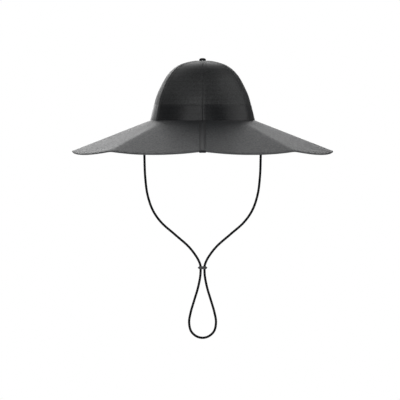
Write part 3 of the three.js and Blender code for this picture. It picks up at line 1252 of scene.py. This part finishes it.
def ridgedBrimTree():
    sockets = {"Geometry": "Geometry"}
    sockets.update({name: "Float" for name in brim})
    sockets.update({"Cloth": "Material", "Turned Cloth": "Material"})
    tree, given = startTree("Ridged brim", sockets)
    position = addNode(tree, "GeometryNodeInputPosition")
    angle, out, above = addNode(tree, "ShaderNodeSeparateXYZ", {0: position}).outputs
    half = addNode(tree, "ShaderNodeMath", {0: math.pi, 1: given["Ridges"]}, operation="DIVIDE")
    fromRidge = addNode(tree, "ShaderNodeMath", {0: angle, 1: half}, operation="PINGPONG")

    # The rim draws in between two ridges, with softened corners at the ridges
    corner = given["Rim Corner"]
    cornered = addNode(tree, "ShaderNodeCombineXYZ", {0: fromRidge, 1: corner})
    rounded = addNode(tree, "ShaderNodeVectorMath", {0: cornered}, operation="LENGTH")
    soft = addNode(
        tree, "ShaderNodeMath", {0: rounded.outputs["Value"], 1: corner}, operation="SUBTRACT"
    )
    share = addNode(tree, "ShaderNodeMath", {0: soft, 1: half}, operation="DIVIDE")
    rest = addNode(tree, "ShaderNodeMath", {0: 1.0, 1: share}, operation="SUBTRACT")
    square = addNode(tree, "ShaderNodeMath", {0: rest, 1: rest}, operation="MULTIPLY")
    bow = addNode(tree, "ShaderNodeMath", {0: 1.0, 1: square}, operation="SUBTRACT")
    bowShare = addNode(
        tree,
        "ShaderNodeMath",
        {0: given["Rim Bow"], 1: given["Brim Width"]},
        operation="DIVIDE",
    )
    drawnIn = addNode(tree, "ShaderNodeMath", {0: bow, 1: bowShare}, operation="MULTIPLY")
    kept = addNode(tree, "ShaderNodeMath", {0: 1.0, 1: drawnIn}, operation="SUBTRACT")
    level = addNode(tree, "ShaderNodeMath", {0: out, 1: kept}, operation="MULTIPLY")
    reach = addNode(tree, "ShaderNodeMath", {0: level, 1: 0.0}, operation="MAXIMUM")

    # How far a facet lies below the cone through the ridges
    radius = addNode(
        tree, "ShaderNodeMath", {0: given["Foot Radius"], 1: reach}, operation="ADD"
    )
    sine = addNode(tree, "ShaderNodeMath", {0: fromRidge}, operation="SINE")
    aside = addNode(tree, "ShaderNodeMath", {0: radius, 1: sine}, operation="MULTIPLY")
    rounding = given["Ridge Rounding"]
    crest = addNode(tree, "ShaderNodeCombineXYZ", {0: aside, 1: rounding})
    crestLength = addNode(tree, "ShaderNodeVectorMath", {0: crest}, operation="LENGTH")
    down = addNode(
        tree,
        "ShaderNodeMath",
        {0: crestLength.outputs["Value"], 1: rounding},
        operation="SUBTRACT",
    )
    tangent = addNode(tree, "ShaderNodeMath", {0: half}, operation="TANGENT")
    sloped = addNode(tree, "ShaderNodeMath", {0: tangent, 1: down}, operation="MULTIPLY")
    cosine = addNode(tree, "ShaderNodeMath", {0: fromRidge}, operation="COSINE")
    less = addNode(tree, "ShaderNodeMath", {0: cosine, 1: 1.0}, operation="SUBTRACT")
    flat = addNode(
        tree, "ShaderNodeMath", {0: radius, 1: less, 2: sloped}, operation="MULTIPLY_ADD"
    )
    grows = addNode(
        tree, "ShaderNodeMath", {0: reach, 1: given["Facet Growth"]}, operation="DIVIDE"
    )
    fading = addNode(tree, "ShaderNodeMath", {0: grows, 1: -1.0}, operation="MULTIPLY")
    left = addNode(tree, "ShaderNodeMath", {0: fading}, operation="EXPONENT")
    grown = addNode(tree, "ShaderNodeMath", {0: 1.0, 1: left}, operation="SUBTRACT")
    fall = addNode(
        tree, "ShaderNodeMath", {0: grown, 1: flat, 2: reach}, operation="MULTIPLY_ADD"
    )
    steep = addNode(tree, "ShaderNodeMath", {0: given["Slope"]}, operation="TANGENT")
    drop = addNode(tree, "ShaderNodeMath", {0: fall, 1: steep}, operation="MULTIPLY")
    height = addNode(tree, "ShaderNodeMath", {0: above, 1: drop}, operation="SUBTRACT")

    # Round the oval foot
    wide = addNode(
        tree, "ShaderNodeMath", {0: given["Foot Radius"], 1: level}, operation="ADD"
    )
    long = addNode(
        tree, "ShaderNodeMath", {0: given["Foot Length"], 1: level}, operation="ADD"
    )
    toRight = addNode(tree, "ShaderNodeMath", {0: angle}, operation="SINE")
    toFront = addNode(tree, "ShaderNodeMath", {0: angle}, operation="COSINE")
    x = addNode(tree, "ShaderNodeMath", {0: wide, 1: toRight}, operation="MULTIPLY")
    ahead = addNode(tree, "ShaderNodeMath", {0: long, 1: toFront}, operation="MULTIPLY")
    y = addNode(tree, "ShaderNodeMath", {0: ahead, 1: -1.0}, operation="MULTIPLY")

    # Slow ripples that grow towards the rim, as worn cloth has
    plan = addNode(tree, "ShaderNodeCombineXYZ", {0: x, 1: y})
    waves = addNode(tree, "ShaderNodeMath", {0: 1.0, 1: given["Ripple Size"]}, operation="DIVIDE")
    ripple = addNode(
        tree,
        "ShaderNodeTexNoise",
        {"Vector": plan, "W": given["Seed"], "Scale": waves, "Detail": 1.0},
        noise_dimensions="4D",
    )
    signed = addNode(tree, "ShaderNodeMath", {0: ripple, 1: 0.5}, operation="SUBTRACT")
    farOut = addNode(
        tree, "ShaderNodeMath", {0: reach, 1: given["Brim Width"]}, operation="DIVIDE"
    )
    strength = addNode(
        tree, "ShaderNodeMath", {0: farOut, 1: given["Ripple"]}, operation="MULTIPLY"
    )
    doubled = addNode(tree, "ShaderNodeMath", {0: strength, 1: 2.0}, operation="MULTIPLY")
    z = addNode(
        tree, "ShaderNodeMath", {0: signed, 1: doubled, 2: height}, operation="MULTIPLY_ADD"
    )
    place = addNode(tree, "ShaderNodeCombineXYZ", {0: x, 1: y, 2: z})
    laid = addNode(
        tree, "GeometryNodeSetPosition", {"Geometry": given["Geometry"], "Position": place}
    )
    turned = addNode(
        tree, "GeometryNodeInputNamedAttribute", {"Name": "turned"}, data_type="BOOLEAN"
    )
    whole = addNode(tree, "GeometryNodeRealizeInstances", {"Geometry": laid})
    clothed = addNode(
        tree, "GeometryNodeSetMaterial", {"Geometry": whole, "Material": given["Cloth"]}
    )
    edged = addNode(
        tree,
        "GeometryNodeSetMaterial",
        {"Geometry": clothed, "Selection": turned, "Material": given["Turned Cloth"]},
    )
    addNode(tree, "NodeGroupOutput", {"Geometry": edged})
    return tree


def brimCut():
    # One half of the brim laid flat, a sector of a ring: the width and length of the cloth that
    # it is cut from, and its area
    slant = brimWidth / math.cos(brim["Slope"])
    footArc = math.pi * (footRadius + footLength) / 2
    rimArc = footArc + math.pi * brimWidth
    inner = slant * footArc / (rimArc - footArc)
    outer = inner + slant
    angle = footArc / inner
    area = angle / 2 * (outer**2 - inner**2)
    return (2 * outer * math.sin(angle / 2), outer - inner * math.cos(angle / 2)), area


def halfAngles(start, radius, count):
    # Angles round one half of the brim, half a gap inside its two ends
    inset = gap / 2 / radius
    return [
        min(max(start + math.pi * i / count, start + inset), start + math.pi - inset)
        for i in range(count + 1)
    ]


def addBrimHalf(side, start, tree, looks):
    end = brimWidth - cloth["edgeWidth"] + cloth["inBinding"]
    rows = cloth["rows"]
    outs = [end * (i / rows) ** cloth["rowCrowding"] for i in range(rows, -1, -1)]
    outs.append(-band["wall"])
    columns = cloth["columns"]
    upper = []
    lower = []
    for out in outs:
        angles = halfAngles(start, footRadius + out, columns)
        upper.append([Vector((angle, out, 0)) for angle in angles])
        lower.append([Vector((angle, out, -brimThickness)) for angle in angles])

    def mapAt(row, column):
        return (start + math.pi * column / columns) * footRadius, outs[row]

    half = addShell("brim" + side, upper, lower, mapAt, [looks["Cloth"]])
    applyNodes(half, (tree, {**brim, **looks}))
    finishPiece(half, "brim", "brim_" + side.lower())
    return half


def addBrimEdge(side, start, tree, looks):
    # Narrow binding folded round the rim
    lip = cloth["edgeLip"]
    tall = brimThickness + 2 * lip
    inner = brimWidth - cloth["edgeWidth"]
    bend = brimWidth - tall / 2
    middle = -brimThickness / 2
    corner = cloth["edgeCorner"]
    outline = [(inner, middle - tall / 2 + corner), (inner + corner, middle - tall / 2)]
    for i in range(bendSteps + 1):
        turn = math.pi * (i / bendSteps - 0.5)
        outline.append((bend + tall / 2 * math.cos(turn), middle + tall / 2 * math.sin(turn)))
    outline += [(inner + corner, middle + tall / 2), (inner, middle + tall / 2 - corner)]
    steps = 2 * cloth["columns"]
    angles = halfAngles(start, footRadius + brimWidth, steps)
    loops = []
    for i, angle in enumerate(angles):
        pull = cloth["pucker"] * math.sin(math.pi * i / 2)
        loops.append([Vector((angle, out + pull, above)) for out, above in outline])
    edge = addSweep("brimEdge" + side, loops, looks["Turned Cloth"])
    applyNodes(edge, (tree, {**brim, **looks, "Cloth": looks["Turned Cloth"]}))
    faceOut(edge)
    finishPiece(edge, "trim", "brim_edge_" + side.lower())
    return edge


# Tape over each centre seam of the brim, sewn down along both edges and turned round the rim

tape = {
    "halfWidth": 6 * mm,
    "wall": 1 * mm,
    "start": 2 * mm,  # out from the crown's foot
    "under": 14 * mm,  # the end that is turned under the brim
    "stepBefore": 1 * mm,  # it climbs onto the binding this far before it
    "stepLength": 0.7 * mm,
    "edgeFrom": -0.3 * mm,  # beyond its edge, so that it doesn't thin out to nothing there
    "edgeTo": 0.9 * mm,
    "topSteps": 44,
    "underSteps": 6,
    "stitchOut": 4.3 * mm,
    "stitchDip": 0.3 * mm,
    "stitchWidth": 0.55 * mm,
}

# Columns on one half of the tape, from its edge to beside its middle, in mm
tapeColumns = [6, 5.9, 5.6, 5.2, 4.9, 4.6, 4.3, 4, 3.7, 3.3, 2.4, 1.2]


def tapeTrack():
    # Places along the tape as distance out and height, with the way that its face looks there
    lip = cloth["edgeLip"] + gap
    step = brimWidth - cloth["edgeWidth"] - gap - tape["stepBefore"]
    climbed = step + tape["stepLength"]
    tall = brimThickness + 2 * lip
    bend = brimWidth + gap - tall / 2
    middle = -brimThickness / 2
    start, steps = tape["start"], tape["topSteps"]
    top = [(start + (step - start) * i / steps, gap, 0, 1) for i in range(steps + 1)]
    track = top + [(climbed, lip, 0, 1)]
    for i in range(bendSteps + 1):
        turn = math.pi * (0.5 - i / bendSteps)
        c, s = math.cos(turn), math.sin(turn)
        track.append((bend + tall / 2 * c, middle + tall / 2 * s, c, s))
    track.append((climbed, -brimThickness - lip, 0, -1))
    below, back, steps = -brimThickness - gap, brimWidth - tape["under"], tape["underSteps"]
    track += [(step + (back - step) * i / steps, below, 0, -1) for i in range(steps + 1)]
    return track, len(top)


def addTape(name, node, middleAngle, tree, looks):
    track, _ = tapeTrack()
    across = [-a for a in tapeColumns] + [0] + tapeColumns[::-1]
    across = [a * mm for a in across]
    faceRows = []
    seatRows = []
    for out, above, lookOut, lookUp in track:
        face = []
        seat = []
        for a in across:
            angle = middleAngle + math.asin(a / (footLength + out))
            soft = ease(tape["halfWidth"] - abs(a), tape["edgeFrom"], tape["edgeTo"])
            sewn = tape["stitchDip"] * dip(abs(a) - tape["stitchOut"], tape["stitchWidth"])
            thick = tape["wall"] * soft - sewn
            face.append(Vector((angle, out + lookOut * thick, above + lookUp * thick)))
            seat.append(Vector((angle, out, above)))
        faceRows.append(face)
        seatRows.append(seat)
    faceRows.reverse()
    seatRows.reverse()
    outs = [out for out, _, _, _ in reversed(track)]

    def mapAt(row, column):
        return across[column], outs[row]

    strip = addShell(name, faceRows, seatRows, mapAt, [looks["Cloth"]])
    # Faces that reach below the cloth's face are those of the turned end
    turned = strip.data.attributes.new("turned", "BOOLEAN", "FACE")
    flags = []
    for polygon in strip.data.polygons:
        heights = [strip.data.vertices[v].co.z for v in polygon.vertices]
        flags.append(min(heights) < gap / 3)
    turned.data.foreach_set("value", flags)
    applyNodes(strip, (tree, {**brim, **looks}))
    finishPiece(strip, "trim", node)
    return strip


# Stitches: a grain of thread at every pitch along the sewing lines

sewing = {
    "Pitch": 3.1 * mm,
    "Stitch Length": 2.3 * mm,
    "Thread Radius": 0.28 * mm,
    "Unevenness": 0.12,
    "Seed": 11,
}
threadLift = 0.05 * mm  # a stitch's middle above the film's face


def stitchTree():
    sockets = {
        "Geometry": "Geometry",
        "Pitch": "Float",
        "Stitch Length": "Float",
        "Thread Radius": "Float",
        "Unevenness": "Float",
        "Seed": "Int",
        "Thread": "Material",
    }
    tree, given = startTree("Row of stitches", sockets)
    rows = addNode(tree, "GeometryNodeMeshToCurve", {0: given["Geometry"]})
    places = addNode(
        tree,
        "GeometryNodeResampleCurve",
        {"Curve": rows, "Length": given["Pitch"]},
        mode="LENGTH",
    )
    grain = addNode(
        tree, "GeometryNodeMeshUVSphere", {"Segments": 6, "Rings": 4, "Radius": 1.0}
    )
    halfLength = addNode(
        tree, "ShaderNodeMath", {0: given["Stitch Length"], 1: 0.5}, operation="MULTIPLY"
    )
    size = addNode(
        tree,
        "ShaderNodeCombineXYZ",
        {0: given["Thread Radius"], 1: given["Thread Radius"], 2: halfLength},
    )
    stitch = addNode(tree, "GeometryNodeTransform", {"Geometry": grain, "Scale": size})
    tangent = addNode(tree, "GeometryNodeInputTangent")
    turned = addNode(
        tree, "FunctionNodeAlignRotationToVector", {"Vector": tangent}, axis="Z"
    )
    least = addNode(
        tree, "ShaderNodeMath", {0: 1.0, 1: given["Unevenness"]}, operation="SUBTRACT"
    )
    uneven = addNode(
        tree,
        "FunctionNodeRandomValue",
        {2: least, 3: 1.0, "Seed": given["Seed"]},
        data_type="FLOAT",
    )
    placed = addNode(
        tree,
        "GeometryNodeInstanceOnPoints",
        {"Points": places, "Instance": stitch, "Rotation": turned, "Scale": uneven},
    )
    real = addNode(tree, "GeometryNodeRealizeInstances", {"Geometry": placed})
    smooth = addNode(tree, "GeometryNodeSetShadeSmooth", {"Geometry": real})
    sewn = addNode(
        tree, "GeometryNodeSetMaterial", {"Geometry": smooth, "Material": given["Thread"]}
    )
    addNode(tree, "NodeGroupOutput", {"Geometry": sewn})
    return tree


def addCrownStitches(tree, thread):
    lines = []
    pitch = fullTurn / crown["panels"]
    start, end, steps = crown["stitchFrom"], domeLength - crown["stitchTo"], 70
    alongs = [start + (end - start) * i / steps for i in range(steps + 1)]
    for k in range(crown["panels"]):
        for side in (-1, 1):
            line = []
            for along in alongs:
                aside = side * crown["stitchOut"] / domeAt(along)[0]
                line.append(domePoint(k * pitch + aside, along, lift=threadLift))
            lines.append(line)
    rows = addLines("crownStitches", lines)
    applyNodes(rows, (tree, {**sewing, "Thread": thread}))
    finishPiece(rows, "crown")


def addBandStitches(tree, thread):
    steps = 360
    angles = [fullTurn * i / steps for i in range(steps + 1)]
    heights = (bandHigh[2] - band["stitchIn"], bandLow[2] + band["stitchIn"])
    lines = [[bandPoint(angle, z, lift=threadLift) for angle in angles] for z in heights]
    rows = addLines("bandStitches", lines)
    applyNodes(rows, (tree, {**sewing, "Thread": thread}))
    finishPiece(rows, "band")


def addBrimStitches(brimTree, tree, thread, looks):
    steps = 720
    angles = [fullTurn * i / steps for i in range(steps + 1)]
    out = brimWidth - cloth["stitchFromRim"]
    sides = (cloth["stitchRise"], -brimThickness - cloth["stitchRise"])
    lines = [[Vector((angle, out, above)) for angle in angles] for above in sides]
    track, topCount = tapeTrack()
    for middleAngle in (0, math.pi):
        for side in (-1, 1):
            line = []
            for out, above, _, _ in track[:topCount]:
                angle = middleAngle + math.asin(side * tape["stitchOut"] / (footLength + out))
                line.append(Vector((angle, out, above + tape["wall"] - tape["stitchDip"])))
            lines.append(line)
    rows = addLines("brimStitches", lines)
    applyNodes(rows, (brimTree, {**brim, **looks}), (tree, {**sewing, "Thread": thread}))
    finishPiece(rows, "brim")


# Tabs of folded webbing below the brim that hold the ends of the cord

anchor = {
    "footShare": 2 / 3,  # its foot is this much as wide as its top
    "boxiness": 0.32,  # lower is squarer
    "ribs": 1.25 * mm,  # spacing of the webbing's ribs
    "ribDepth": 0.12 * mm,
    "footRound": 0.5 * mm,
    "footRoundTo": 0.08,  # share of its height
    "belowBrim": 0.2 * mm,
    "rows": 18,
    "steps": 72,
}


def addAnchor(side, material):
    low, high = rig.box("cord_anchor_" + side.lower())
    middle = (low[0] + high[0]) / 2
    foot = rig.box("chin_cord")[1][2] + gap
    deep = (high[1] - low[1]) / 2
    topHalf = (high[0] - low[0]) / 2
    footHalf = topHalf * anchor["footShare"]
    power = anchor["boxiness"]
    loops = []
    for i in range(anchor["rows"] + 1):
        share = i / anchor["rows"]
        half = footHalf + (topHalf - footHalf) * share
        soft = anchor["footRound"] * dip(share, anchor["footRoundTo"])
        loop = []
        for j in range(anchor["steps"]):
            turn = fullTurn * j / anchor["steps"]
            c, s = math.cos(turn), math.sin(turn)
            x = abs(c) ** power * math.copysign(1, c)
            y = abs(s) ** power * math.copysign(1, s)
            rib = anchor["ribDepth"] * (0.5 - 0.5 * math.cos(fullTurn * y * deep / anchor["ribs"]))
            px = middle + x * (half - soft - rib * abs(c))
            py = y * (deep - soft)
            drop = (abs(px) - footRadius) * math.tan(brim["Slope"])
            top = -drop - brimThickness - gap - anchor["belowBrim"]
            loop.append(Vector((px, py, foot + (top - foot) * share)))
        loops.append(loop)
    tab = addSweep("cordAnchor" + side, loops, material)
    faceOut(tab)
    finishPiece(tab, "anchor", "cord_anchor_" + side.lower())


# Surround: a pale floor far below the hat, white all round, and soft boxes

studio = {
    "floorHeight": -1.7,
    "floorSize": 12.0,
    "floorGlow": 0.7,
    "floorColor": "#f2f2f2",
    "floorRoughness": 0.9,
    "fill": 0.114,  # what the hat sees where there is no light
    "boxDistance": 3.0,
}

# Direction from the hat, as azimuth from the front towards +X and elevation, in degrees
softBoxes = [
    {"name": "backLow", "azimuth": -178, "elevation": 12, "width": 1.4, "height": 1.2, "power": 14.6},
    {"name": "backLowLeft", "azimuth": -161, "elevation": 10, "width": 0.9, "height": 1.2, "power": 6.2},
    {"name": "backMiddle", "azimuth": -178, "elevation": 28, "width": 1.6, "height": 0.8, "power": 4.8},
    {"name": "backHigh", "azimuth": -178, "elevation": 45, "width": 1.6, "height": 1.2, "power": 9},
    {"name": "backLeft", "azimuth": -145, "elevation": 13, "width": 1.8, "height": 1.4, "power": 5.4},
    {"name": "aboveLeft", "azimuth": -135, "elevation": 45, "width": 1.6, "height": 1.2, "power": 4.7},
    {"name": "leftHigh", "azimuth": -70, "elevation": 45, "width": 1.6, "height": 1, "power": 3.9},
    {"name": "frontLeftLow", "azimuth": -34, "elevation": 4, "width": 1.6, "height": 1, "power": 5.8},
    {"name": "frontLeft", "azimuth": -34, "elevation": 24, "width": 1.6, "height": 1, "power": 8.2},
    {"name": "frontLow", "azimuth": -2, "elevation": 4, "width": 1, "height": 1, "power": 12.2},
    {"name": "front", "azimuth": -2, "elevation": 26, "width": 1, "height": 1, "power": 4},
    {"name": "frontHigh", "azimuth": -2, "elevation": 48, "width": 1, "height": 1, "power": 6.8},
    {"name": "right", "azimuth": 88, "elevation": 12, "width": 3, "height": 1.2, "power": 12.9},
    {"name": "rightHigh", "azimuth": 95, "elevation": 42, "width": 2.2, "height": 1.2, "power": 11},
]


def addSoftBoxes():
    for box in softBoxes:
        light = bpy.data.lights.new(box["name"], "AREA")
        light.shape = "RECTANGLE"
        light.size = box["width"]
        light.size_y = box["height"]
        light.energy = box["power"]
        lamp = bpy.data.objects.new(box["name"], light)
        azimuth, elevation = math.radians(box["azimuth"]), math.radians(box["elevation"])
        way = Vector(
            (
                math.sin(azimuth) * math.cos(elevation),
                -math.cos(azimuth) * math.cos(elevation),
                math.sin(elevation),
            )
        )
        lamp.location = way * studio["boxDistance"]
        lamp.rotation_euler = way.to_track_quat("Z", "Y").to_euler()
        lamp.visible_camera = False
        collection.objects.link(lamp)


def addSurround():
    world = bpy.data.worlds.new("surround")
    world.use_nodes = True
    tree = world.node_tree
    tree.nodes.clear()
    ray = addNode(tree, "ShaderNodeLightPath")
    strength = addNode(
        tree,
        "ShaderNodeMapRange",
        {"Value": ray.outputs["Is Camera Ray"], "To Min": studio["fill"], "To Max": 1.0},
    )
    light = addNode(tree, "ShaderNodeBackground", {"Color": (1, 1, 1, 1), "Strength": strength})
    addNode(tree, "ShaderNodeOutputWorld", {"Surface": light})
    bpy.context.scene.world = world

    # Painted boards: flat white, which gives the hat's underside its light
    material, tree = startMaterial("paintedFloor")
    paint = addNode(
        tree,
        "ShaderNodeBsdfPrincipled",
        {
            "Base Color": hexToLinear(studio["floorColor"]),
            "Roughness": studio["floorRoughness"],
            "Emission Color": (1, 1, 1, 1),
            "Emission Strength": studio["floorGlow"],
        },
    )
    addNode(tree, "ShaderNodeOutputMaterial", {"Surface": paint})
    half = studio["floorSize"] / 2
    plan = [(-half, -half), (half, -half), (half, half), (-half, half)]
    points = [(x, y, studio["floorHeight"]) for x, y in plan]
    floor = addPiece("floor", points, [[0, 1, 2, 3]], [material])
    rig.stage(floor)


print("stage: camera and cord")
addCamera()
cordYarn = twoToneMaterial("braidedPolyester", braidedPolyester)
cord, cordPath, cordLength = addChinCord(cordYarn)
bead = addSlider(twoToneMaterial("mouldedAcetal", mouldedAcetal))
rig.cord(
    cord,
    exit=cordPath[0],
    length=cordLength,
    diameter=chinCord["diameter"],
    far_end="object",
    stiffness="limp",
    lay="hanging",
    path=cordPath,
    with_pieces=[bead],
)

print("stage: materials")
brimCloth = wovenPolyester()
panelFilm = laminatedFilm("laminatedFilm", crown["stripWidth"], filmFace)
bandFilm = laminatedFilm("tightLaminatedFilm", band["stripWidth"], tightShadedFilmFace)
backing = twoToneMaterial("wovenBacking", wovenBacking)
binding = twoToneMaterial("wovenBinding", wovenBinding)
tapeCloth = ribbedTape()
tapeEnd = twoToneMaterial("foldedTape", foldedTape)
webbing = twoToneMaterial("wovenWebbing", wovenWebbing)
covering = twoToneMaterial("coveringCloth", coveringCloth)
thread = twoToneMaterial("spunThread", spunThread)

print("stage: crown")
for i, name in enumerate(panelNames):
    middle = fullTurn / crown["panels"] * (i + 0.5)
    addPanel(name, middle, [panelFilm, backing])
addBand([bandFilm, backing])
addButton(covering)

print("stage: brim")
brimTree = ridgedBrimTree()
brimLooks = {"Cloth": brimCloth, "Turned Cloth": binding}
halves = []
edges = []
for side, start in (("Right", 0.0), ("Left", math.pi)):
    halves.append(addBrimHalf(side, start, brimTree, brimLooks))
    edges.append(addBrimEdge(side, start, brimTree, brimLooks))
tapeLooks = {"Cloth": tapeCloth, "Turned Cloth": tapeEnd}
frontTape = addTape("brimFrontTape", "brim_front_tape", 0.0, brimTree, tapeLooks)
backTape = addTape("brimBackTape", "brim_back_tape", math.pi, brimTree, tapeLooks)
brimFlat, brimArea = brimCut()
for half, edge, seamTape in zip(halves, edges, (frontTape, backTape)):
    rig.sheet(
        half,
        flat=brimFlat,
        held="stretched",
        rests_on=["crown_band"],
        area=brimArea,
        with_pieces=[edge, seamTape],
    )

print("stage: tabs and stitches")
addAnchor("Right", webbing)
addAnchor("Left", webbing)
sewingTree = stitchTree()
addCrownStitches(sewingTree, thread)
addBandStitches(sewingTree, thread)
addBrimStitches(brimTree, sewingTree, thread, brimLooks)

print("stage: surround")
addSoftBoxes()
addSurround()

low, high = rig.bounds()
with open("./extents.json", "w") as file:
    json.dump({"cad": [list(cadLow), list(cadHigh)], "visual": [list(low), list(high)]}, file)
